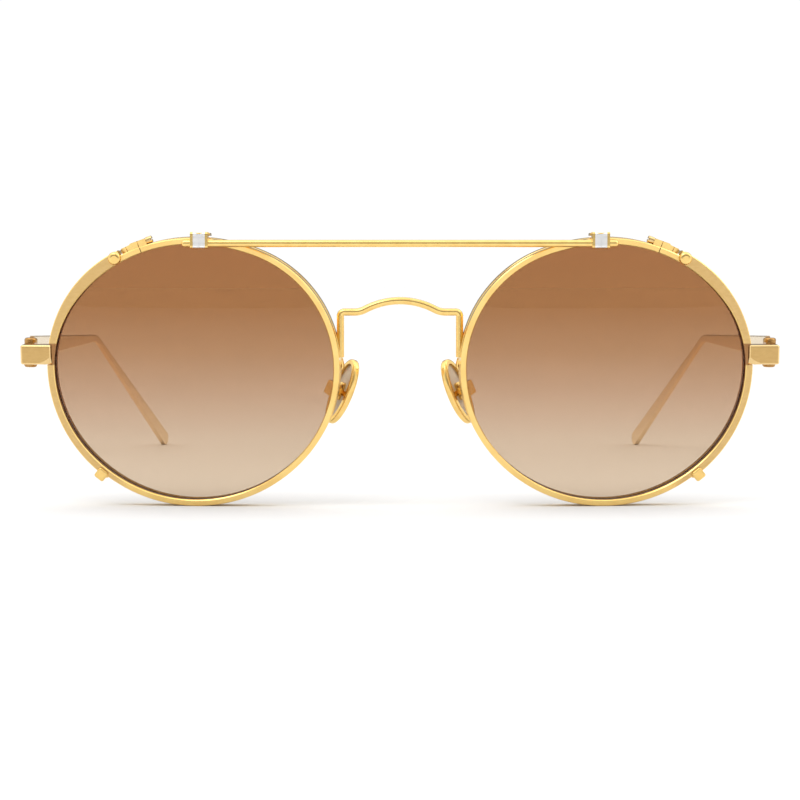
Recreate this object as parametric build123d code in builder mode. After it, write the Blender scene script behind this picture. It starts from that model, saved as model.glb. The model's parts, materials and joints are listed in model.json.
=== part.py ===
from build123d import *
import math
import os

os.makedirs("parts", exist_ok=True)

# Clip on sunglasses: a wire optical frame with folding temples, and a tinted clip that lies on its
# front. The wearer looks along -Y, +Z is up, and the rim bottoms and temple tips rest on Z = 0.
# Lengths are in millimetres and angles in degrees. "Left" is the side at -X; the right side mirrors it.

# Lens opening: eight tangent arcs, two in each quarter, widest a little above its middle
half_width = 25.8
upper_height = 22.65
lower_height = 24.65
widest_level = 1.0
upper_outer_radius = 19.5
upper_inner_radius = 21.95
lower_side_radius = 23.6

# Where each lens stands, and how it leans
lens_center_x = 37.75
lens_center_z = 24.88
front_y = -65.41
wrap_angle = 4.0
tilt_angle = 5.0

# Rims and lenses
rim_width = 1.14
groove_depth = 0.25
seat_clearance = 0.02
base_rim_depth = 2.0
clip_gap = 0.35
clip_rim_depth = 1.8
lens_radius = 132.0
demo_lens_thickness = 1.1
clip_lens_thickness = 0.9
edge_sag = 2.37
rim_edge_break = 0.16

# Rim locks: the rim is slit and two blocks are drawn together by a screw
slit_width = 0.14
base_lock_angle = 118.5
clip_lock_angle = 112.3
lock_screw_radius = 0.35

# Clip: wings on the outer side, brow bar, collars, hooks and claws
wing_start_angle = 121.2
wing_end_angle = 230.0
bar_radius = 0.67
bar_half_length = 39.7
bar_z = 48.42
bar_y = front_y - 4.86
collar_x = 36.4
collar_width = 3.2
claw_clearance = 0.14
claw_back = 2.5

# End pieces and hinges
endpiece_level = 3.35
endpiece_height = 3.6
endpiece_outer = 32.0
endpiece_front = 2.5
endpiece_root = 28.7
endpiece_corner_radius = 0.4
endpiece_edge_radius = 0.35
facet_radius = 4.75
facet_depth = 0.7
facet_spread = 1.25
facet_center_x = 29.75
facet_center_level = 6.45
notch_inner = 0.4
hinge_x = 68.8
hinge_y = front_y + 4.9
hinge_z = 28.25
hinge_lean = 1.2
barrel_radius = 1.2
hinge_plate_inset = 0.35
barrel_half = 2.75
knuckle_gap = 0.05
middle_half = 1.0
screw_radius = 0.55
running_clearance = 0.05

# Temples
temple_start = hinge_y + 1.7
temple_lean_y = temple_start + 8.0
temple_top_z = 31.3
temple_low_z = 27.2
bend_x = 68.45
bend_y = front_y + 91.0
bend_top_z = 28.6
temple_thickness = 0.9
tip_y = front_y + 136.9
tip_radius = 1.6
tip_inset = 11.0

# Bridge and nose pads
wire_radius = 0.68
bridge_y = front_y - 0.9
post_x = 10.94
post_low_z = 27.6
bridge_end_z = 35.9
bridge_apex_z = 37.98
bridge_flat_x = 8.3
arm_radius = 0.42
pad_center = (-10.8, front_y + 5.0, 20.95)
pad_turn = 28.0
pad_lean = 22.5
pad_half_length = 6.4
pad_half_width = 3.3
pad_thickness = 1.3
pad_ring_width = 0.95
lug_radius = 0.7
pad_screw_radius = 0.35

# Left lens plane: x towards the nose, y up, z forwards; z = 0 is the front of the base rim
wrap = math.radians(wrap_angle)
tilt = math.radians(tilt_angle)
lens_plane = Plane(
    origin=(-lens_center_x, front_y, lens_center_z),
    x_dir=(math.cos(wrap), -math.sin(wrap), 0),
    z_dir=(-math.sin(wrap) * math.cos(tilt), -math.cos(wrap) * math.cos(tilt), -math.sin(tilt)),
)
forward_axis = Axis(lens_plane.origin, lens_plane.z_dir)


def half_arcs(height, side_radius, grow):
    """Side radius, end radius, end centre and join angle of one half of the outline."""
    a = half_width + grow
    b = height + grow
    side = side_radius + grow
    end = (a * a + b * b - 2 * a * side) / (2 * (b - side))
    join = math.degrees(math.atan2(end - b, a - side))
    return side, end, b - end, join


def quarter(across, up):
    """Height and side radius of one quarter of the outline; across is negative on the outer side."""
    if up < 0:
        return lower_height, lower_side_radius
    return upper_height, upper_outer_radius if across < 0 else upper_inner_radius


def lens_outline(grow):
    """Face inside the lens opening, grown outwards by the given amount."""
    with BuildSketch() as outline:
        with BuildLine():
            for across, up in ((1, 1), (-1, 1), (-1, -1), (1, -1)):
                height, side_radius = quarter(across, up)
                side, end, middle, join = half_arcs(height, side_radius, grow)
                side_start = 90 - 90 * across
                side_center = (across * (half_width - side_radius), widest_level)
                CenterArc(side_center, side, side_start, across * up * join)
                CenterArc((0, widest_level + up * middle), end, 90 * up, -across * up * (90 - join))
        make_face()
    return outline.sketch


def edge_spot(angle, grow):
    """Point where a ray from the lens centre crosses the grown outline, and the normal's angle there."""
    turn = math.radians(angle)
    ray = (math.cos(turn), math.sin(turn))
    height, side_radius = quarter(ray[0], ray[1])
    side, end, middle, join = half_arcs(height, side_radius, grow)
    end_level = widest_level + math.copysign(middle, middle * ray[1])
    side_x = math.copysign(half_width - side_radius, ray[0])
    for center, radius in (((0, end_level), end), ((side_x, widest_level), side)):
        along = ray[0] * center[0] + ray[1] * center[1]
        reach = along + math.sqrt(along**2 + radius**2 - center[0] ** 2 - center[1] ** 2)
        point = (reach * ray[0], reach * ray[1])
        normal = math.atan2(point[1] - center[1], point[0] - center[0])
        if abs(math.sin(normal)) > math.sin(math.radians(join)):
            break
    return point, math.degrees(normal)


def edge_point(angle, grow):
    """Point of the grown outline in the given direction from the lens centre."""
    return edge_spot(angle, grow)[0]


def edge_normal(angle):
    """Angle of the rim's outward normal in the given direction from the lens centre."""
    return edge_spot(angle, rim_width)[1]


opening = lens_outline(0)
groove = lens_outline(groove_depth)
seat = lens_outline(groove_depth + seat_clearance)
rim_edge = lens_outline(rim_width)


def save(piece, name):
    """Write one sub-part."""
    piece.label = name
    export_step(piece, f"parts/{name}.step")


def save_pair(piece, name):
    """Write the left sub-part and its mirror image on the right."""
    save(piece, f"{name}_left")
    with BuildPart() as twin:
        mirror(piece, about=Plane.YZ)
    save(twin.part, f"{name}_right")


# Lenses: shells between two spheres, and the slightly larger seats that they leave in the rims
def lens_sphere_center(edge_level, thickness):
    """Level of the centre of a lens's front sphere."""
    return edge_level + thickness / 2 + edge_sag - lens_radius


demo_edge = -base_rim_depth / 2
demo_sphere = lens_plane.offset(lens_sphere_center(demo_edge, demo_lens_thickness))
with BuildPart() as demo_lens:
    with BuildSketch(lens_plane.offset(-base_rim_depth)):
        add(groove)
    extrude(amount=base_rim_depth + edge_sag)
    with Locations(demo_sphere):
        Sphere(lens_radius, rotation=(90, 0, 0), mode=Mode.INTERSECT)
        Sphere(lens_radius - demo_lens_thickness, rotation=(90, 0, 0), mode=Mode.SUBTRACT)
save_pair(demo_lens.part, "demo_lens")
with BuildPart() as demo_seat:
    with BuildSketch(lens_plane.offset(-base_rim_depth)):
        add(seat)
    extrude(amount=base_rim_depth + edge_sag)
    with Locations(demo_sphere):
        Sphere(lens_radius + seat_clearance, rotation=(90, 0, 0), mode=Mode.INTERSECT)
        Sphere(lens_radius - demo_lens_thickness - seat_clearance, rotation=(90, 0, 0), mode=Mode.SUBTRACT)

clip_edge = clip_gap + clip_rim_depth / 2
clip_sphere = lens_plane.offset(lens_sphere_center(clip_edge, clip_lens_thickness))
clip_front = clip_gap + clip_rim_depth
notch_half = endpiece_height / 2 + 0.1
with BuildPart() as clip_lens:
    with BuildSketch(lens_plane.offset(clip_gap)):
        add(groove)
    extrude(amount=clip_rim_depth + edge_sag)
    with Locations(clip_sphere):
        Sphere(lens_radius, rotation=(90, 0, 0), mode=Mode.INTERSECT)
        Sphere(lens_radius - clip_lens_thickness, rotation=(90, 0, 0), mode=Mode.SUBTRACT)
save_pair(clip_lens.part, "clip_lens")
with BuildPart() as clip_seat:
    with BuildSketch(lens_plane.offset(clip_gap)):
        add(seat)
    extrude(amount=clip_rim_depth + edge_sag)
    with Locations(clip_sphere):
        Sphere(lens_radius + seat_clearance, rotation=(90, 0, 0), mode=Mode.INTERSECT)
        Sphere(lens_radius - clip_lens_thickness - seat_clearance, rotation=(90, 0, 0), mode=Mode.SUBTRACT)

# Base eyewire: a grooved ring, slit at its lock
with BuildPart() as eyewire:
    with BuildSketch(lens_plane.offset(-base_rim_depth)):
        add(rim_edge)
        add(opening, mode=Mode.SUBTRACT)
    extrude(amount=base_rim_depth)
    rim_edges = eyewire.edges().group_by(forward_axis)
    chamfer(rim_edges[0] + rim_edges[-1], rim_edge_break)
    with BuildSketch(lens_plane.offset(-base_rim_depth)):
        with Locations(edge_point(base_lock_angle, rim_width / 2)):
            Rectangle(3 * rim_width, slit_width, rotation=edge_normal(base_lock_angle))
    extrude(amount=base_rim_depth, mode=Mode.SUBTRACT)
    add(demo_seat.part, mode=Mode.SUBTRACT)
save_pair(eyewire.part, "eyewire")

# Base rim lock: two small blocks with a screw across the slit
base_lock_length = 2.1
base_lock_height = 1.0
base_lock_reach = rim_width + base_lock_height / 2 - 0.1
with BuildPart() as base_lock:
    with BuildSketch(lens_plane.offset(-base_rim_depth + 0.25)):
        with Locations(edge_point(base_lock_angle, base_lock_reach)):
            RectangleRounded(base_lock_height + 0.2, base_lock_length, 0.25, rotation=edge_normal(base_lock_angle))
            Rectangle(2 * base_lock_height, slit_width, rotation=edge_normal(base_lock_angle), mode=Mode.SUBTRACT)
    extrude(amount=base_rim_depth - 0.5)
    add(eyewire.part, mode=Mode.SUBTRACT)


def lock_screw_plane(angle, grow, level):
    """Plane across the rim's tangent, centred in a lock."""
    x, y = edge_point(angle, grow)
    turn = math.radians(edge_normal(angle))
    center = lens_plane.from_local_coords((x, y, level))
    along = lens_plane.from_local_coords((x + math.sin(turn), y - math.cos(turn), level))
    return Plane(origin=center, z_dir=Vector(along) - Vector(center))


base_screw_plane = lock_screw_plane(base_lock_angle, rim_width + 0.5, -base_rim_depth / 2)
with BuildPart() as base_lock_screw:
    with BuildSketch(base_screw_plane.offset(-base_lock_length / 2 + 0.1)):
        Circle(lock_screw_radius)
    extrude(amount=base_lock_length - 0.1)
    with BuildSketch(base_screw_plane.offset(base_lock_length / 2)):
        Circle(lock_screw_radius + 0.15)
        Rectangle(2, 0.15, mode=Mode.SUBTRACT)
    extrude(amount=0.3)
with BuildPart() as base_lock_drilled:
    add(base_lock.part)
    add(base_lock_screw.part, mode=Mode.SUBTRACT)
save_pair(base_lock_drilled.part, "base_rim_lock")
save_pair(base_lock_screw.part, "base_lock_screw")

# Upper claw: a round cap on the wing, a shank through it and a finger down the rim's outer edge
upper_claw_angle = 123.6
upper_cap_radius = 1.2
upper_cap_reach = 1.16
upper_cap_height = 0.8
lower_claw_angle = 227.2
finger_inner = rim_width + claw_clearance
finger_width = 0.78
finger_length = 1.7
finger_corner = 0.2
shank_radius = 0.36
with BuildPart() as upper_claw:
    with BuildSketch(lens_plane.offset(clip_front)):
        with Locations(edge_point(upper_claw_angle, upper_cap_reach)):
            Circle(upper_cap_radius)
    extrude(amount=upper_cap_height)
    fillet(upper_claw.edges().group_by(forward_axis)[-1], upper_cap_height - 0.12)
    with BuildSketch(lens_plane.offset(clip_gap)):
        with Locations(edge_point(upper_claw_angle, finger_inner + finger_width / 2)):
            Circle(shank_radius)
    extrude(amount=clip_rim_depth + 0.1)
    with BuildSketch(lens_plane.offset(-claw_back)):
        with Locations(edge_point(upper_claw_angle, finger_inner + finger_width / 2)):
            RectangleRounded(finger_width, finger_length, finger_corner, rotation=edge_normal(upper_claw_angle))
    extrude(amount=claw_back + clip_gap)
    fillet(upper_claw.edges().group_by(forward_axis)[0], 0.15)
save_pair(upper_claw.part, "clip_upper_claw")

# Clip rim: a ring with two wings on the outer side, notched for the end piece and slit at its lock
wing_rise = (
    (wing_start_angle, 2.16, 152.0, 1.78, 180.0, 1.32),
    (180.0, 1.32, 203.0, 1.36, wing_end_angle, 1.46),
)
with BuildPart() as clip_rim:
    with BuildSketch(lens_plane.offset(clip_gap)):
        add(rim_edge)
        for start, start_out, middle, middle_out, stop, stop_out in wing_rise:
            with BuildLine():
                outer = ThreePointArc(
                    edge_point(start, start_out), edge_point(middle, middle_out), edge_point(stop, stop_out)
                )
                inner = ThreePointArc(edge_point(start, 0.6), edge_point(middle, 0.6), edge_point(stop, 0.6))
                Line(outer @ 0, inner @ 0)
                Line(outer @ 1, inner @ 1)
            make_face()
        add(opening, mode=Mode.SUBTRACT)
    extrude(amount=clip_rim_depth)
    rim_edges = clip_rim.edges().group_by(forward_axis)
    chamfer(rim_edges[0] + rim_edges[-1], rim_edge_break)
    with BuildSketch(lens_plane.offset(clip_gap)):
        with Locations((-half_width - notch_inner - 2, endpiece_level)):
            Rectangle(4, 2 * notch_half)
        with Locations(edge_point(clip_lock_angle, rim_width / 2)):
            Rectangle(3 * rim_width, slit_width, rotation=edge_normal(clip_lock_angle))
    extrude(amount=clip_rim_depth, mode=Mode.SUBTRACT)
    add(clip_seat.part, mode=Mode.SUBTRACT)
    add(upper_claw.part, mode=Mode.SUBTRACT)
save_pair(clip_rim.part, "clip_rim")

# Lower claw: a square cap that wraps the rim's outer edge and runs back as a finger
lower_cap = 2.05
lower_cap_reach = 1.45
lower_finger_inner = 1.5
with BuildPart() as lower_claw:
    with BuildSketch(lens_plane.offset(clip_front)):
        with Locations(edge_point(lower_claw_angle, lower_cap_reach)):
            RectangleRounded(lower_cap, lower_cap, 0.4, rotation=edge_normal(lower_claw_angle))
    extrude(amount=0.55)
    fillet(lower_claw.edges().group_by(forward_axis)[-1], 0.3)
    with BuildSketch(lens_plane.offset(-claw_back)):
        with Locations(edge_point(lower_claw_angle, lower_finger_inner + finger_width / 2)):
            RectangleRounded(finger_width, finger_length, finger_corner, rotation=edge_normal(lower_claw_angle))
    extrude(amount=claw_back + clip_front)
    fillet(lower_claw.edges().group_by(forward_axis)[0], 0.15)
    add(clip_rim.part, mode=Mode.SUBTRACT)
save_pair(lower_claw.part, "clip_lower_claw")

# Clip rim lock: two blocks above the rim, and a screw whose round head stands at the inner end
clip_lock_length = 3.1
clip_lock_height = 1.15
clip_lock_reach = rim_width + clip_lock_height / 2 - 0.1
clip_lock_middle = clip_lock_angle
with BuildPart() as clip_lock_screw:
    screw_plane = lock_screw_plane(clip_lock_middle, rim_width + 0.62, clip_edge)
    with BuildSketch(screw_plane.offset(-clip_lock_length / 2 + 0.3)):
        Circle(lock_screw_radius)
    extrude(amount=clip_lock_length - 0.2)
    with BuildSketch(screw_plane.offset(clip_lock_length / 2)):
        Circle(0.64)
    extrude(amount=1.15)
    fillet(clip_lock_screw.edges().sort_by(Axis(screw_plane.origin, screw_plane.z_dir))[-1], 0.12)
    with BuildSketch(screw_plane.offset(clip_lock_length / 2 + 0.85)):
        Rectangle(0.2, 2)
    extrude(amount=0.4, mode=Mode.SUBTRACT)
    add(clip_rim.part, mode=Mode.SUBTRACT)
with BuildPart() as clip_lock:
    with BuildSketch(lens_plane.offset(clip_gap + 0.1)):
        with Locations(edge_point(clip_lock_middle, clip_lock_reach)):
            RectangleRounded(clip_lock_height + 0.2, clip_lock_length, 0.25, rotation=edge_normal(clip_lock_middle))
        with Locations(edge_point(clip_lock_angle, clip_lock_reach)):
            Rectangle(2 * clip_lock_height, slit_width, rotation=edge_normal(clip_lock_angle), mode=Mode.SUBTRACT)
    extrude(amount=clip_rim_depth - 0.2)
    add(clip_rim.part, mode=Mode.SUBTRACT)
    add(clip_lock_screw.part, mode=Mode.SUBTRACT)
save_pair(clip_lock.part, "clip_rim_lock")
save_pair(clip_lock_screw.part, "clip_lock_screw")

# Brow bar: a straight round wire with rounded ends, lying on the front of both rims
with BuildPart() as brow_bar:
    with BuildSketch(Plane.YZ.offset(-bar_half_length)):
        with Locations((bar_y, bar_z)):
            Circle(bar_radius)
    extrude(amount=2 * bar_half_length)
    fillet(brow_bar.edges().group_by(Axis.X)[0] + brow_bar.edges().group_by(Axis.X)[-1], bar_radius - 0.05)
    add(clip_rim.part, mode=Mode.SUBTRACT)
    add(mirror(clip_rim.part, about=Plane.YZ), mode=Mode.SUBTRACT)
save(brow_bar.part, "clip_brow_bar")

# Space of the clip's lens, which the collars stay in front of
with BuildPart() as lens_space:
    with BuildSketch(lens_plane):
        add(lens_outline(groove_depth + 0.1))
    extrude(amount=clip_front + 0.3)

# Collar: a flanged sleeve on the bar that sits astride the rim's top
flange_thickness = 0.5
flange_depth = 2.44
flange_low_z = 47.55
flange_top_z = 50.5
flange_z = (flange_low_z + flange_top_z) / 2
flange_height = flange_top_z - flange_low_z
with BuildPart() as collar:
    for end in (-1, 1):
        plane_x = -collar_x + end * (collar_width - flange_thickness) / 2 - flange_thickness / 2
        with BuildSketch(Plane.YZ.offset(plane_x)):
            with Locations((bar_y, flange_z)):
                RectangleRounded(flange_depth, flange_height, 0.45)
        extrude(amount=flange_thickness)
    with BuildSketch(Plane.YZ.offset(-collar_x - collar_width / 2)):
        with Locations((bar_y, bar_z)):
            Circle(bar_radius + 0.3)
        with Locations((bar_y + 0.4, bar_z + 0.6)):
            Rectangle(1.2, 1.2)
    extrude(amount=collar_width)
    add(brow_bar.part, mode=Mode.SUBTRACT)
    add(clip_rim.part, mode=Mode.SUBTRACT)
    add(lens_space.part, mode=Mode.SUBTRACT)
save_pair(collar.part, "clip_collar")

# Collar grip: a pale metal saddle between the flanges, its front cut into two by two facets
grip_width = collar_width - 2 * flange_thickness
facet_groove = 0.2
with BuildPart() as collar_grip:
    with BuildSketch(Plane.YZ.offset(-collar_x - grip_width / 2)):
        with Locations((bar_y, flange_z)):
            RectangleRounded(flange_depth - 0.1, flange_height - 0.1, 0.4)
        with Locations((bar_y + 1.5, flange_z - 0.9)):
            Rectangle(3.4, flange_height, mode=Mode.SUBTRACT)
    extrude(amount=grip_width)
    with BuildSketch(Plane.XZ.offset(-bar_y - flange_depth)):
        with Locations((-collar_x, flange_top_z + 1.35)):
            Circle(1.7)
    extrude(amount=2 * flange_depth, mode=Mode.SUBTRACT)
    with BuildSketch(Plane.XZ.offset(-bar_y + flange_depth / 2 - 0.2)):
        with Locations((-collar_x, bar_z + 0.05)):
            Rectangle(facet_groove, 2 * flange_height)
            Rectangle(grip_width, facet_groove)
        with Locations((-collar_x, bar_z + 1.2)):
            Rectangle(grip_width, facet_groove)
    extrude(amount=0.4, mode=Mode.SUBTRACT)
    add(collar.part, mode=Mode.SUBTRACT)
    add(clip_rim.part, mode=Mode.SUBTRACT)
    add(brow_bar.part, mode=Mode.SUBTRACT)
    add(lens_space.part, mode=Mode.SUBTRACT)
save_pair(collar_grip.part, "clip_collar_grip")

# Top hook: a tab from the collar back over the top of the base rim
hook_start = bar_y + flange_depth / 2
hook_end = front_y + 0.75
hook_low_z = 49.84
with BuildPart() as top_hook:
    with BuildSketch(Plane.XY.offset(hook_low_z)):
        with Locations((-collar_x + 0.35, (hook_start + hook_end) / 2)):
            RectangleRounded(2.9, hook_end - hook_start, 0.5)
        with Locations((-collar_x + 0.35, hook_start + 0.6)):
            Rectangle(2.9, 1.2)
    extrude(amount=0.55)
    chamfer(top_hook.edges().group_by(Axis.Z)[-1], 0.12)
save_pair(top_hook.part, "clip_top_hook")

# End piece: a squared block soldered to the base rim, standing forward through the clip's notch
endpiece_inner = half_width + notch_inner + 0.1
with BuildPart() as endpiece:
    with BuildSketch(lens_plane.offset(0.2)):
        with Locations((-(endpiece_outer + endpiece_inner) / 2, endpiece_level)):
            Rectangle(endpiece_outer - endpiece_inner, endpiece_height)
    extrude(amount=endpiece_front - 0.2)
    outward = Axis(lens_plane.origin, lens_plane.x_dir)
    fillet(endpiece.edges().group_by(outward)[0], endpiece_corner_radius)
    fillet(endpiece.edges().group_by(forward_axis)[-1], endpiece_edge_radius)
    with BuildSketch(lens_plane.offset(endpiece_front - facet_depth)):
        with Locations((-endpiece_inner - 1.2, endpiece_level - 1.2)):
            Rectangle(4.6, 4)
    corner = extrude(amount=facet_depth, mode=Mode.PRIVATE)
    with BuildPart(mode=Mode.PRIVATE) as crown_cone:
        with Locations(lens_plane.offset(endpiece_front - facet_depth / 2).location):
            with Locations((-facet_center_x, facet_center_level, 0)):
                Cone(facet_radius + facet_spread, facet_radius, facet_depth)
    add(corner - crown_cone.part, mode=Mode.SUBTRACT)
    with BuildSketch(lens_plane.offset(-base_rim_depth + 0.2)):
        with Locations((-(endpiece_inner + endpiece_root) / 2, endpiece_level)):
            Rectangle(endpiece_root - endpiece_inner, endpiece_height - 0.8)
    extrude(amount=base_rim_depth)
    add(eyewire.part, mode=Mode.SUBTRACT)
save_pair(endpiece.part, "endpiece")


def hinge_plane(side):
    """Plane across a hinge's axis; both axes lean the same way so that the folded temples pass."""
    lean = math.radians(hinge_lean)
    return Plane(
        origin=(side * hinge_x, hinge_y, hinge_z),
        x_dir=(math.cos(lean), 0, -math.sin(lean)),
        z_dir=(math.sin(lean), 0, math.cos(lean)),
    )


# Hinges: two fixed knuckles, a temple knuckle between them and a screw down the middle
screw_head_radius = 0.8
screw_head_seat = 0.6
driver_slot = 0.22
barrel_edge_radius = 0.45
for side, side_name in ((-1, "left"), (1, "right")):
    pivot = hinge_plane(side)
    pivot_axis = Axis(pivot.origin, pivot.z_dir)
    with BuildPart() as front_hinge:
        with BuildSketch(pivot.offset(-barrel_half)):
            Circle(barrel_radius)
        extrude(amount=2 * barrel_half)
        barrel_ends = front_hinge.edges().group_by(pivot_axis)
        fillet(barrel_ends[0] + barrel_ends[-1], barrel_edge_radius)
        with BuildSketch(pivot.offset(-barrel_half + 0.55)):
            with Locations((-side * hinge_plate_inset, -2)):
                Rectangle(2 * (barrel_radius - hinge_plate_inset), 4)
        extrude(amount=2 * barrel_half - 1.4)
        with BuildSketch(pivot.offset(-middle_half - knuckle_gap)):
            with Locations((0, 3 - barrel_radius - 0.12)):
                Rectangle(4, 6)
        extrude(amount=2 * (middle_half + knuckle_gap), mode=Mode.SUBTRACT)
        with BuildSketch(pivot.offset(-barrel_half)):
            Circle(screw_radius)
        extrude(amount=2 * barrel_half, mode=Mode.SUBTRACT)
        with BuildSketch(pivot.offset(barrel_half - screw_head_seat)):
            Circle(screw_head_radius)
        extrude(amount=1, mode=Mode.SUBTRACT)
        with BuildSketch(lens_plane.offset(0.2)):
            with Locations((-endpiece_outer + 2, endpiece_level)):
                Rectangle(12, 12)
        blank = extrude(amount=8, mode=Mode.PRIVATE)
        if side > 0:
            blank = mirror(blank, about=Plane.YZ, mode=Mode.PRIVATE)
        add(blank, mode=Mode.SUBTRACT)
    save(front_hinge.part, f"front_hinge_{side_name}")

    with BuildPart() as hinge_screw:
        with BuildSketch(pivot.offset(-barrel_half + 0.1)):
            Circle(screw_radius)
        extrude(amount=2 * barrel_half - 0.7)
        with BuildSketch(pivot.offset(barrel_half - screw_head_seat)):
            Circle(screw_head_radius)
        extrude(amount=screw_head_seat - 0.1)
        with BuildSketch(pivot.offset(barrel_half - screw_head_seat / 2)):
            Rectangle(driver_slot, 2)
        extrude(amount=screw_head_seat, mode=Mode.SUBTRACT)
    save(hinge_screw.part, f"hinge_screw_{side_name}")

    with BuildPart() as temple_hinge:
        with BuildSketch(pivot.offset(-middle_half)):
            Circle(barrel_radius)
            with Locations((0, 1.3)):
                Rectangle(1.6, 2.6)
            with Locations((-side * 0.1, 2.1)):
                Rectangle(1.8, 1.0)
            with Locations((-side * 0.8, 4.5)):
                Rectangle(0.7, 5.8)
            Circle(screw_radius + running_clearance, mode=Mode.SUBTRACT)
        extrude(amount=2 * middle_half)
        with BuildSketch(Plane.XY.offset(temple_low_z - 1)):
            with Locations((side * hinge_x, temple_start + 10)):
                Rectangle(temple_thickness, 20)
        extrude(amount=6, mode=Mode.SUBTRACT)
    save(temple_hinge.part, f"temple_hinge_{side_name}")

# Temple: a flat bar that tapers to the ear bend, then drops and leans in to a paddle tip
tip_z = tip_radius
drop = math.atan2(bend_top_z - 0.7 - tip_z, tip_y - bend_y - tip_radius)
side_step = (tip_radius * math.sin(drop), tip_radius * math.cos(drop))
tip_center = (tip_y - tip_radius, tip_z)
lean_in = math.atan2(tip_inset, tip_y - bend_y)
with BuildPart() as temple:
    with BuildSketch(Plane.YZ.offset(-hinge_x - 2)):
        with BuildLine():
            Polyline(
                (tip_center[0] + side_step[0], tip_center[1] + side_step[1]),
                (bend_y, bend_top_z),
                (temple_start, temple_top_z),
                (temple_start, temple_low_z),
                (bend_y, temple_low_z),
                (tip_center[0] - side_step[0], tip_center[1] - side_step[1]),
            )
            ThreePointArc(
                (tip_center[0] - side_step[0], tip_center[1] - side_step[1]),
                (tip_y - tip_radius + tip_radius * math.cos(drop), tip_z - tip_radius * math.sin(drop)),
                (tip_center[0] + side_step[0], tip_center[1] + side_step[1]),
            )
        make_face()
    extrude(amount=tip_inset + 6)
    bend_edges = temple.edges().filter_by(Axis.X).filter_by(lambda e: abs(e.center().Y - bend_y) < 0.01)
    fillet(bend_edges, 14)
    with BuildSketch(Plane.XY.offset(-1)) as plan:
        with BuildLine():
            Polyline(
                (-hinge_x - temple_thickness / 2, temple_start),
                (-hinge_x - temple_thickness / 2, temple_lean_y),
                (-bend_x - temple_thickness / 2, bend_y),
                (-bend_x + tip_inset - 0.6, tip_y + 1),
                (-bend_x + tip_inset + 0.6, tip_y + 1),
                (-bend_x + temple_thickness / 2, bend_y),
                (-hinge_x + temple_thickness / 2, temple_lean_y),
                (-hinge_x + temple_thickness / 2, temple_start),
                close=True,
            )
        make_face()
        fillet(plan.vertices().filter_by(lambda v: abs(v.Y - bend_y) < 0.01), 40)
    extrude(amount=40, mode=Mode.INTERSECT)
    fillet(temple.edges().filter_by(lambda e: e.length > 20), 0.22)
save_pair(temple.part, "temple")

# Bridge: one wire from post to post, up over the nose with a turn at each side
rise = bridge_apex_z - bridge_end_z
swing = 2 * math.atan2(rise, bridge_flat_x)
arc_sum = bridge_flat_x / math.sin(swing)
foot_radius = 4.0
crown_radius = arc_sum - foot_radius
corner_radius = 0.72
turn_x = -bridge_flat_x + foot_radius * math.sin(swing)
turn_z = bridge_end_z + foot_radius * (1 - math.cos(swing))
half_swing = swing / 2
with BuildPart() as bridge:
    with BuildLine(Plane.XZ.offset(-bridge_y)):
        left_post = Line((-post_x, post_low_z), (-post_x, bridge_end_z - corner_radius))
        left_corner = CenterArc((-post_x + corner_radius, bridge_end_z - corner_radius), corner_radius, 90, 90)
        left_flat = Line((-post_x + corner_radius, bridge_end_z), (-bridge_flat_x, bridge_end_z))
        left_foot = ThreePointArc(
            (-bridge_flat_x, bridge_end_z),
            (
                -bridge_flat_x + foot_radius * math.sin(half_swing),
                bridge_end_z + foot_radius * (1 - math.cos(half_swing)),
            ),
            (turn_x, turn_z),
        )
        crown = ThreePointArc((turn_x, turn_z), (0, bridge_apex_z), (-turn_x, turn_z))
        right_foot = ThreePointArc(
            (-turn_x, turn_z),
            (
                bridge_flat_x - foot_radius * math.sin(half_swing),
                bridge_end_z + foot_radius * (1 - math.cos(half_swing)),
            ),
            (bridge_flat_x, bridge_end_z),
        )
        right_flat = Line((bridge_flat_x, bridge_end_z), (post_x - corner_radius, bridge_end_z))
        right_corner = CenterArc((post_x - corner_radius, bridge_end_z - corner_radius), corner_radius, 0, 90)
        right_post = Line((post_x, bridge_end_z - corner_radius), (post_x, post_low_z))
    with BuildSketch(Plane.XY.offset(post_low_z)):
        with Locations((-post_x, bridge_y)):
            Circle(wire_radius)
    sweep()
    add(eyewire.part, mode=Mode.SUBTRACT)
    add(mirror(eyewire.part, about=Plane.YZ), mode=Mode.SUBTRACT)
save(bridge.part, "bridge")

# Left nose pad: x across the pad to its rear edge, y up its length, z towards the nose
lean = math.radians(pad_lean)
pad_long = Vector(math.sin(lean), -0.08, math.cos(lean)).normalized()
face = Vector(math.cos(math.radians(pad_turn)), math.sin(math.radians(pad_turn)), 0)
pad_normal = (face - pad_long * face.dot(pad_long)).normalized()
pad_plane = Plane(origin=pad_center, x_dir=pad_long.cross(pad_normal), z_dir=pad_normal)
pad_axis = Axis(pad_plane.origin, pad_plane.z_dir)
lug_level = -1.95
cushion_half = (pad_half_width - pad_ring_width, pad_half_length - pad_ring_width)

# Pad cushion: a soft oval lens held in the ring, swelling towards the nose
with BuildPart() as pad_cushion:
    with BuildSketch(pad_plane.offset(-pad_thickness / 2 + 0.45)):
        Ellipse(cushion_half[0], cushion_half[1])
    extrude(amount=pad_thickness - 0.2)
    fillet(pad_cushion.edges().group_by(pad_axis)[-1], 0.5)
save_pair(pad_cushion.part, "pad_cushion")

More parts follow.
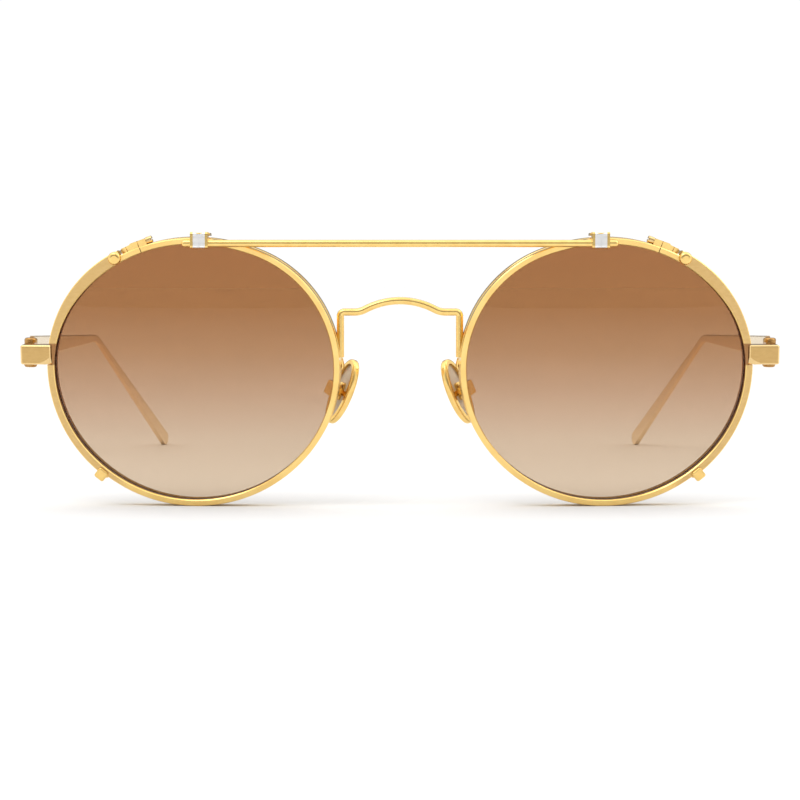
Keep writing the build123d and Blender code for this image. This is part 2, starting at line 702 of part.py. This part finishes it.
# Pad ring: the metal oval round the cushion, with a bar across its back that carries the lug
with BuildPart() as pad_ring:
    with BuildSketch(pad_plane.offset(-pad_thickness / 2)):
        Ellipse(pad_half_width, pad_half_length)
    extrude(amount=pad_thickness)
    fillet(pad_ring.edges().group_by(pad_axis)[0] + pad_ring.edges().group_by(pad_axis)[-1], 0.4)
    with BuildSketch(pad_plane.offset(-pad_thickness / 2)):
        Ellipse(cushion_half[0], cushion_half[1])
    extrude(amount=pad_thickness, mode=Mode.SUBTRACT)
    with BuildSketch(pad_plane.offset(-pad_thickness / 2)):
        RectangleRounded(1.5, 3.4, 0.5)
        Rectangle(2 * cushion_half[0] + 0.6, 0.9)
    extrude(amount=0.45)
    with BuildSketch(Plane(pad_plane.origin, x_dir=pad_plane.y_dir, z_dir=pad_plane.x_dir).offset(-0.5)):
        with Locations((0, lug_level)):
            Circle(lug_radius)
        with Locations((0, (lug_level - pad_thickness / 2) / 2)):
            Rectangle(2 * lug_radius, -lug_level - pad_thickness / 2)
        with Locations((0, lug_level)):
            Circle(pad_screw_radius + running_clearance, mode=Mode.SUBTRACT)
    extrude(amount=1.0)
save_pair(pad_ring.part, "pad_ring")

# Pad box: the cup on the pad arm that straddles the lug, and the screw through both
box_plane = Plane(pad_plane.origin, x_dir=pad_plane.y_dir, z_dir=pad_plane.x_dir)
box_half = 1.05
with BuildPart() as pad_box:
    with BuildSketch(box_plane.offset(-box_half)):
        with Locations((0, lug_level - 0.25)):
            RectangleRounded(2.7, 1.9, 0.35)
    extrude(amount=2 * box_half)
    with BuildSketch(box_plane.offset(-0.56)):
        with Locations((0, lug_level + 0.4)):
            Rectangle(2.0, 2.4)
    extrude(amount=1.12, mode=Mode.SUBTRACT)
    with BuildSketch(box_plane.offset(-2)):
        with Locations((0, lug_level)):
            Circle(pad_screw_radius)
    extrude(amount=4, mode=Mode.SUBTRACT)
with BuildPart() as pad_screw:
    with BuildSketch(box_plane.offset(-box_half)):
        with Locations((0, lug_level)):
            Circle(pad_screw_radius)
    extrude(amount=2 * box_half)
    with BuildSketch(box_plane.offset(-box_half - 0.35)):
        with Locations((0, lug_level)):
            Circle(0.6)
            Rectangle(2, 0.18, mode=Mode.SUBTRACT)
    extrude(amount=0.35)
save_pair(pad_box.part, "pad_box")
save_pair(pad_screw.part, "pad_screw")

# Pad arm: a thin wire from the back of the eyewire, round a loop and down to the pad box
box_top = box_plane.from_local_coords((1.2, lug_level - 0.25, 0))
above_box = box_plane.from_local_coords((3.1, lug_level - 0.25, 0))
with BuildPart() as pad_arm:
    with BuildLine() as arm_path:
        FilletPolyline(
            (-11.15, front_y - 0.25, 27.4),
            (-11.0, front_y + 3.1, 27.4),
            (-10.7, front_y + 3.6, 25.7),
            (above_box.X, above_box.Y, above_box.Z),
            (box_top.X, box_top.Y, box_top.Z),
            radius=0.6,
        )
    with BuildSketch(Plane(arm_path.line @ 0, z_dir=arm_path.line % 0)):
        Circle(arm_radius)
    sweep()
    add(eyewire.part, mode=Mode.SUBTRACT)
    add(bridge.part, mode=Mode.SUBTRACT)
    add(pad_box.part, mode=Mode.SUBTRACT)
save_pair(pad_arm.part, "pad_arm")
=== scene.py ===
import json
import math

import bpy
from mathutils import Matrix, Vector


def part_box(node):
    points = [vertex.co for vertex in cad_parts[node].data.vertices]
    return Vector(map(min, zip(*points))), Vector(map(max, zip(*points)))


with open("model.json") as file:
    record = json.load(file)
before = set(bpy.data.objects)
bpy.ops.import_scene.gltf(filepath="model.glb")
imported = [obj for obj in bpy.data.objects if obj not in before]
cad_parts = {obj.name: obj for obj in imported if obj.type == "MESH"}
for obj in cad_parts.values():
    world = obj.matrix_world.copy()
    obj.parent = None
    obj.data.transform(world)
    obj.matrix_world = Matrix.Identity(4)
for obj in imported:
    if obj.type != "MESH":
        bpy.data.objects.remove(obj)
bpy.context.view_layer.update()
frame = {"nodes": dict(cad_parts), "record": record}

nodes = frame["nodes"]

# Plating colours, with the shade that clouds each of them, and the colours of painted shade and a
# painted highlight
BRIGHT_GOLD = (0.93, 0.655, 0.235)
DEEP_GOLD = (0.88, 0.59, 0.2)
SATIN_GOLD = (0.76, 0.52, 0.22)
SATIN_SHADE = (0.72, 0.48, 0.19)
BLOCK_GOLD = (0.64, 0.42, 0.165)
BLOCK_SHADE = (0.6, 0.385, 0.145)
PALE_GOLD = (0.93, 0.78, 0.55)
PALE_SHADE = (0.9, 0.74, 0.505)
# Painted shade for the lens seats
SEAT_PAINTED_SHADE = (0.085, 0.04, 0.018)
# Painted shade for the thin web beside each end piece
WEB_PAINTED_SHADE = (0.4, 0.2, 0.08)
# Painted highlight for the end pieces' corners and cut facet
EDGE_PAINTED_HIGHLIGHT = (0.84, 0.6, 0.28)
HINGE_AMBER = (0.5, 0.29, 0.1)
HINGE_SHADE = (0.42, 0.22, 0.07)
PALE_METAL = (0.97, 0.96, 0.94)
GREY_METAL = (0.88, 0.88, 0.88)
SCREW_GOLD = (0.8, 0.58, 0.27)
SCREW_SHADE = (0.6, 0.4, 0.16)

# Clear lens, pad and floor colours
CLEAR_COOL = (0.985, 0.99, 0.98)
CLEAR_WARM = (1.0, 1.0, 0.995)
# Pad colours: milky silicone warmed by a painted reflection of the gold
PAD_DEEP = (0.8, 0.63, 0.43)
PAD_PALE = (0.88, 0.72, 0.52)
FLOOR_DIM = (0.82, 0.82, 0.82)
FLOOR_BRIGHT = (0.84, 0.84, 0.84)

# Sun lens colours, from its bottom edge (0) to its top (1)
TINT = (
    (0.0, (0.645, 0.515, 0.388)),
    (0.08, (0.64, 0.508, 0.38)),
    (0.24, (0.585, 0.44, 0.316)),
    (0.41, (0.508, 0.327, 0.21)),
    (0.58, (0.436, 0.233, 0.117)),
    (0.74, (0.383, 0.175, 0.068)),
    (1.0, (0.38, 0.162, 0.062)),
)

# Texture scales, in cycles per metre, and the part of the noise that is used
CLOUD_SCALE = 700
RIM_CLOUD_SCALE = 260
GRAIN_SCALE = 5200
BRUSH_SCALE = 900
BRUSH_STRETCH = (1, 1, 3)
LENS_SCALE = 60
PAD_CLOUD_SCALE = 420
PAD_SKIN_SCALE = 3000
FLOOR_SCALE = 6
NOISE_LOW = 0.3
NOISE_HIGH = 0.7

# Relief heights, in metres, and their strengths
GRAIN_HEIGHT = 0.00001
SKIN_HEIGHT = 0.00002
RIM_RELIEF = 0.08
BLOCK_RELIEF = 0.1
SKIN_RELIEF = 0.1

# Lenses and pads: refraction, highest roughness, and how light passes through the pads
GLASS_IOR = 1.3
SUN_LENS_ROUGHNESS = 0.012
CLEAR_LENS_ROUGHNESS = 0.01
PAD_ROUGHNESS = (0.28, 0.4)
PAD_TRANSMISSION = 0.35
PAD_SCATTER = 0.2
PAD_SCATTER_RADIUS = (0.001, 0.0008, 0.0006)

# Places on the rims, in metres: the middle of a lens opening, and where the wings and the painted
# shade of the web start
LENS_CENTER = Vector((0.03775, 0, 0.02483))
WING_START = (0.0125, 0.0145)
WEB_START = (0.0235, 0.0245)
WEB_MARGIN = 0.0002

# Facings, each from where a finish starts to where it is full; the seat facings bound painted shade,
# the end piece's facing its polish and a painted highlight
CLIP_SEAT_FACING = (0.8, 0.9)
EYEWIRE_SEAT_FACING = (0.5, 0.6)
WING_FACING = (-0.93, -0.97)
BLOCK_TURNED = (-0.985, -0.93)

# Roughness of the rims, of the wings over that, and of the end pieces from front to corner
RIM_POLISH = (0.16, 0.24)
WING_ROUGHER = 0.24
BLOCK_POLISH = (0.36, 0.2)

# Room: directions of its parts, brightness in reflections, and the plain level seen directly
FRONT_WALL = (-0.35, -0.85)
BACK_WALL = (0.45, 0.85)
CEILING = (0.3, 0.75)
ROOM_LEVEL = 1.15
FRONT_DIMMING = 0.75
BEHIND_DIMMING = 0.8
OVERHEAD_GAIN = 0.45
SEEN_LEVEL = 1.03

# Floor: width in metres, and finish
FLOOR_SIZE = 6
FLOOR_ROUGHNESS = 0.9
FLOOR_SPECULAR = 0.1

# Camera: lens and sensor in millimetres, places in metres, and degrees down from level
LENS_LENGTH = 99.4
SENSOR_WIDTH = 36
NEAR_CLIP = 0.01
CAMERA_PLACE = (0, -0.4719, 0.0457)
CAMERA_DIP = 3.664

# Where the lamps point, in metres
LAMP_AIM = Vector((0, -0.06, 0.03))


def new_material(name):
    material = bpy.data.materials.new(name)
    material.use_nodes = True
    tree = material.node_tree
    return material, tree, tree.nodes["Principled BSDF"]


def add_node(tree, kind, **settings):
    node = tree.nodes.new(kind)
    for key, value in settings.items():
        setattr(node, key, value)
    return node


def math_node(tree, operation, first, second=None):
    """A Math node fed by links or plain numbers."""
    node = add_node(tree, "ShaderNodeMath", operation=operation)
    for socket, value in zip(node.inputs, (first, second)):
        if isinstance(value, (int, float)):
            socket.default_value = value
        elif value is not None:
            tree.links.new(value, socket)
    return node.outputs["Value"]


def range_node(tree, value, low, high, to_low=0.0, to_high=1.0):
    node = add_node(tree, "ShaderNodeMapRange")
    node.inputs["From Min"].default_value = low
    node.inputs["From Max"].default_value = high
    node.inputs["To Min"].default_value = to_low
    node.inputs["To Max"].default_value = to_high
    tree.links.new(value, node.inputs["Value"])
    return node.outputs["Result"]


def coordinates(tree, kind):
    """The x, y and z outputs of one kind of texture coordinate."""
    place = add_node(tree, "ShaderNodeTexCoord")
    split = add_node(tree, "ShaderNodeSeparateXYZ")
    tree.links.new(place.outputs[kind], split.inputs["Vector"])
    return split.outputs


def noise(tree, scale, detail=3.0, stretch=(1, 1, 1)):
    """Noise over the object's own coordinates, in cycles per metre."""
    place = add_node(tree, "ShaderNodeTexCoord")
    shape = add_node(tree, "ShaderNodeMapping")
    shape.inputs["Scale"].default_value = stretch
    tree.links.new(place.outputs["Object"], shape.inputs["Vector"])
    texture = add_node(tree, "ShaderNodeTexNoise")
    texture.inputs["Scale"].default_value = scale
    texture.inputs["Detail"].default_value = detail
    tree.links.new(shape.outputs["Vector"], texture.inputs["Vector"])
    return texture.outputs["Fac"]


def two_tone(tree, factor, first, second, low=0.35, high=0.65):
    ramp = add_node(tree, "ShaderNodeValToRGB")
    ramp.color_ramp.elements[0].position = low
    ramp.color_ramp.elements[0].color = (*first, 1)
    ramp.color_ramp.elements[1].position = high
    ramp.color_ramp.elements[1].color = (*second, 1)
    tree.links.new(factor, ramp.inputs["Fac"])
    return ramp.outputs["Color"]


def mix_color(tree, factor, first, second):
    mix = add_node(tree, "ShaderNodeMix", data_type="RGBA")
    tree.links.new(factor, mix.inputs["Factor"])
    for socket, value in ((mix.inputs["A"], first), (mix.inputs["B"], second)):
        if isinstance(value, tuple):
            socket.default_value = (*value, 1)
        else:
            tree.links.new(value, socket)
    return mix.outputs["Result"]


def roughen(tree, shader, texture, low, high):
    """Roughness that follows a noise texture between two values."""
    level = range_node(tree, texture, NOISE_LOW, NOISE_HIGH, low, high)
    tree.links.new(level, shader.inputs["Roughness"])


def bump(tree, shader, height, strength, distance):
    relief = add_node(tree, "ShaderNodeBump")
    relief.inputs["Strength"].default_value = strength
    relief.inputs["Distance"].default_value = distance
    tree.links.new(height, relief.inputs["Height"])
    tree.links.new(relief.outputs["Normal"], shader.inputs["Normal"])


def metal(name, color, shade, roughness, spread, relief):
    """Plated metal: cloudy colour, with one fine grain in its polish and its relief."""
    material, tree, shader = new_material(name)
    shader.inputs["Metallic"].default_value = 1.0
    clouds = noise(tree, CLOUD_SCALE, 3)
    grain = noise(tree, GRAIN_SCALE, 4)
    tree.links.new(two_tone(tree, clouds, shade, color), shader.inputs["Base Color"])
    roughen(tree, shader, grain, roughness - spread, roughness + spread)
    bump(tree, shader, grain, relief, GRAIN_HEIGHT)
    return material


def lens_space(tree):
    """The object's coordinates, and the place sideways and above the nearer lens's centre."""
    place = coordinates(tree, "Object")
    aside = math_node(tree, "ABSOLUTE", place["X"])
    across = math_node(tree, "SUBTRACT", aside, LENS_CENTER.x)
    level = math_node(tree, "SUBTRACT", place["Z"], LENS_CENTER.z)
    return place, across, level


def facing_center(tree):
    """How far the surface faces the nearer lens's centre (-1 to 1), the place sideways, the normal."""
    place, across, level = lens_space(tree)
    facing = coordinates(tree, "Normal")
    side = math_node(tree, "SIGN", place["X"])
    sideways = math_node(tree, "MULTIPLY", facing["X"], side)
    along_x = math_node(tree, "MULTIPLY", sideways, across)
    along_z = math_node(tree, "MULTIPLY", facing["Z"], level)
    across_squared = math_node(tree, "MULTIPLY", across, across)
    level_squared = math_node(tree, "MULTIPLY", level, level)
    span = math_node(tree, "SQRT", math_node(tree, "ADD", across_squared, level_squared))
    outward = math_node(tree, "DIVIDE", math_node(tree, "ADD", along_x, along_z), span)
    return math_node(tree, "MULTIPLY", outward, -1.0), across, facing


def notch_web(tree):
    """1 on the thin strip of clip rim inside the notch for the end piece, where shade is painted."""
    low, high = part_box("endpiece_left")
    place, across, _ = lens_space(tree)
    above = range_node(tree, place["Z"], low.z - WEB_MARGIN, low.z)
    below = range_node(tree, place["Z"], high.z + WEB_MARGIN, high.z)
    outside = range_node(tree, across, *WEB_START)
    return math_node(tree, "MULTIPLY", math_node(tree, "MULTIPLY", above, below), outside)


def rim_gold(name, satin_wings):
    """Rim plating: polished, with painted shade in the lens seat; on the clip, brushed wings and
    painted shade on the web.
    """
    material, tree, shader = new_material(name)
    shader.inputs["Metallic"].default_value = 1.0
    inward, across, facing = facing_center(tree)
    seat = range_node(tree, inward, *(CLIP_SEAT_FACING if satin_wings else EYEWIRE_SEAT_FACING))
    clouds = noise(tree, RIM_CLOUD_SCALE, 2)
    grain = noise(tree, GRAIN_SCALE, 4)
    plating = two_tone(tree, clouds, DEEP_GOLD, BRIGHT_GOLD)
    polish = range_node(tree, grain, NOISE_LOW, NOISE_HIGH, *RIM_POLISH)
    if satin_wings:
        front = range_node(tree, facing["Y"], *WING_FACING)
        wing = math_node(tree, "MULTIPLY", range_node(tree, across, *WING_START), front)
        brush = noise(tree, BRUSH_SCALE, 3, BRUSH_STRETCH)
        brushed = two_tone(tree, brush, SATIN_SHADE, SATIN_GOLD)
        plating = mix_color(tree, wing, plating, brushed)
        rougher = math_node(tree, "MULTIPLY", wing, WING_ROUGHER)
        polish = math_node(tree, "ADD", polish, rougher)
        # Painted shade on the web beside the end piece
        plating = mix_color(tree, notch_web(tree), plating, WEB_PAINTED_SHADE)
    # Painted shade in the lens seat
    tree.links.new(mix_color(tree, seat, plating, SEAT_PAINTED_SHADE), shader.inputs["Base Color"])
    tree.links.new(polish, shader.inputs["Roughness"])
    bump(tree, shader, grain, RIM_RELIEF, GRAIN_HEIGHT)
    return material


def block_paint():
    """End piece: satin gold on its front; polished, and painted lighter as a highlight, on its corners
    and on the cut facet.
    """
    material, tree, shader = new_material("block_gold")
    shader.inputs["Metallic"].default_value = 1.0
    turned = range_node(tree, coordinates(tree, "Normal")["Y"], *BLOCK_TURNED)
    grain = noise(tree, GRAIN_SCALE, 4)
    front = two_tone(tree, noise(tree, BRUSH_SCALE, 3, BRUSH_STRETCH), BLOCK_SHADE, BLOCK_GOLD)
    # Painted highlight: lighter gold on the turned corners and facet
    tree.links.new(mix_color(tree, turned, front, EDGE_PAINTED_HIGHLIGHT), shader.inputs["Base Color"])
    tree.links.new(range_node(tree, turned, 0.0, 1.0, *BLOCK_POLISH), shader.inputs["Roughness"])
    bump(tree, shader, grain, BLOCK_RELIEF, GRAIN_HEIGHT)
    return material


def tinted_glass():
    """Sun lens: brown, deepest at the top, with the faintest unevenness of polish."""
    material, tree, shader = new_material("tinted_lens")
    low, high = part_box("clip_lens_left")
    height = range_node(tree, coordinates(tree, "Object")["Z"], low.z, high.z)
    ramp = add_node(tree, "ShaderNodeValToRGB")
    stops = ramp.color_ramp.elements
    stops[0].position = TINT[0][0]
    stops[0].color = (*TINT[0][1], 1)
    stops[1].position = TINT[-1][0]
    stops[1].color = (*TINT[-1][1], 1)
    for where, tone in TINT[1:-1]:
        stop = stops.new(where)
        stop.color = (*tone, 1)
    tree.links.new(height, ramp.inputs["Fac"])
    tree.links.new(ramp.outputs["Color"], shader.inputs["Base Color"])
    roughen(tree, shader, noise(tree, LENS_SCALE, 2), 0.0, SUN_LENS_ROUGHNESS)
    shader.inputs["Transmission Weight"].default_value = 1.0
    shader.inputs["IOR"].default_value = GLASS_IOR
    return material


def clear_glass():
    """Clear lens: water-white with the faintest unevenness of polish."""
    material, tree, shader = new_material("clear_lens")
    tone = two_tone(tree, noise(tree, LENS_SCALE, 2), CLEAR_COOL, CLEAR_WARM)
    tree.links.new(tone, shader.inputs["Base Color"])
    roughen(tree, shader, noise(tree, LENS_SCALE, 2), 0.0, CLEAR_LENS_ROUGHNESS)
    shader.inputs["Transmission Weight"].default_value = 1.0
    shader.inputs["IOR"].default_value = GLASS_IOR
    return material


def silicone():
    """Pad cushion: milky and soft, warmed by a painted reflection of the gold, a little see-through,
    with a fine skin.
    """
    material, tree, shader = new_material("pad_silicone")
    # Warm tone: a painted reflection of the gold
    tone = two_tone(tree, noise(tree, PAD_CLOUD_SCALE, 3), PAD_DEEP, PAD_PALE)
    tree.links.new(tone, shader.inputs["Base Color"])
    roughen(tree, shader, noise(tree, PAD_SKIN_SCALE, 3), *PAD_ROUGHNESS)
    shader.inputs["Transmission Weight"].default_value = PAD_TRANSMISSION
    shader.inputs["Subsurface Weight"].default_value = PAD_SCATTER
    shader.inputs["Subsurface Radius"].default_value = PAD_SCATTER_RADIUS
    bump(tree, shader, noise(tree, PAD_SKIN_SCALE, 3), SKIN_RELIEF, SKIN_HEIGHT)
    return material


def paint_nodes():
    """Give each CAD node the finish of its slot, or its own where it has one."""
    slot_paint = {
        "polished_gold": metal(
            "polished_gold", BRIGHT_GOLD, DEEP_GOLD, roughness=0.2, spread=0.04, relief=0.08
        ),
        "satin_gold": metal(
            "satin_gold", SATIN_GOLD, SATIN_SHADE, roughness=0.36, spread=0.06, relief=0.2
        ),
        "silver": metal("silver", PALE_METAL, GREY_METAL, roughness=0.42, spread=0.05, relief=0.08),
        "screw_steel": metal(
            "screw_gold", SCREW_GOLD, SCREW_SHADE, roughness=0.28, spread=0.05, relief=0.15
        ),
        "tinted_lens": tinted_glass(),
        "clear_lens": clear_glass(),
        "pad_silicone": silicone(),
    }
    own_paint = {
        "clip_rim": rim_gold("clip_rim_gold", True),
        "eyewire": rim_gold("eyewire_gold", False),
        "endpiece": block_paint(),
        "front_hinge": metal(
            "hinge_amber", HINGE_AMBER, HINGE_SHADE, roughness=0.28, spread=0.05, relief=0.1
        ),
        "temple": metal(
            "temple_gold", PALE_GOLD, PALE_SHADE, roughness=0.3, spread=0.05, relief=0.12
        ),
    }
    for row in frame["record"]["subparts"]:
        name = row["node"]
        stem = name.removesuffix("_left").removesuffix("_right")
        paint = own_paint.get(stem, slot_paint[row["material_slot"]])
        nodes[name].data.materials.clear()
        nodes[name].data.materials.append(paint)


def studio_floor():
    """A pale table top."""
    bpy.ops.mesh.primitive_plane_add(size=FLOOR_SIZE, location=(0, 0, 0))
    floor = bpy.context.object
    floor.name = "floor"
    material, tree, shader = new_material("floor_paint")
    tone = two_tone(tree, noise(tree, FLOOR_SCALE, 2), FLOOR_DIM, FLOOR_BRIGHT)
    tree.links.new(tone, shader.inputs["Base Color"])
    shader.inputs["Roughness"].default_value = FLOOR_ROUGHNESS
    shader.inputs["Specular IOR Level"].default_value = FLOOR_SPECULAR
    floor.data.materials.append(material)


def studio_world():
    """A white room; in reflections it is bright overhead and dim in front and behind."""
    world = bpy.data.worlds.new("studio")
    bpy.context.scene.world = world
    world.use_nodes = True
    tree = world.node_tree
    way = coordinates(tree, "Generated")
    front = range_node(tree, way["Y"], *FRONT_WALL)
    behind = range_node(tree, way["Y"], *BACK_WALL)
    overhead = range_node(tree, way["Z"], *CEILING)
    level = math_node(tree, "SUBTRACT", ROOM_LEVEL, math_node(tree, "MULTIPLY", front, FRONT_DIMMING))
    level = math_node(tree, "SUBTRACT", level, math_node(tree, "MULTIPLY", behind, BEHIND_DIMMING))
    level = math_node(tree, "ADD", level, math_node(tree, "MULTIPLY", overhead, OVERHEAD_GAIN))
    ray = add_node(tree, "ShaderNodeLightPath").outputs
    seen = math_node(tree, "MAXIMUM", ray["Is Camera Ray"], ray["Is Transmission Ray"])
    room = add_node(tree, "ShaderNodeMix", data_type="FLOAT")
    tree.links.new(seen, room.inputs["Factor"])
    tree.links.new(level, room.inputs["A"])
    room.inputs["B"].default_value = SEEN_LEVEL
    background = tree.nodes["Background"]
    tree.links.new(room.outputs["Result"], background.inputs["Strength"])
    background.inputs["Color"].default_value = (1, 1, 1, 1)


def softbox(name, place, size, power):
    """A rectangular lamp that faces the front of the glasses."""
    lamp = bpy.data.lights.new(name, "AREA")
    lamp.shape = "RECTANGLE"
    lamp.size, lamp.size_y = size
    lamp.energy = power
    box = bpy.data.objects.new(name, lamp)
    box.location = place
    box.rotation_euler = (LAMP_AIM - Vector(place)).to_track_quat("-Z", "Y").to_euler()
    bpy.context.scene.collection.objects.link(box)


def front_camera():
    """A long lens a little above the frame, looking back and slightly down at it."""
    camera_data = bpy.data.cameras.new("camera")
    camera = bpy.data.objects.new("camera", camera_data)
    bpy.context.scene.collection.objects.link(camera)
    camera_data.sensor_width = SENSOR_WIDTH
    camera_data.lens = LENS_LENGTH
    camera_data.clip_start = NEAR_CLIP
    camera.location = CAMERA_PLACE
    camera.rotation_euler = (math.radians(90 - CAMERA_DIP), 0, 0)
    bpy.context.scene.camera = camera


paint_nodes()
studio_floor()
studio_world()
softbox("key", place=(-0.25, -0.35, 0.6), size=(0.4, 0.3), power=0.8)
softbox("fill", place=(0.45, -0.1, 0.4), size=(0.15, 0.4), power=0.3)
front_camera()
bpy.context.scene.view_settings.view_transform = "Standard"
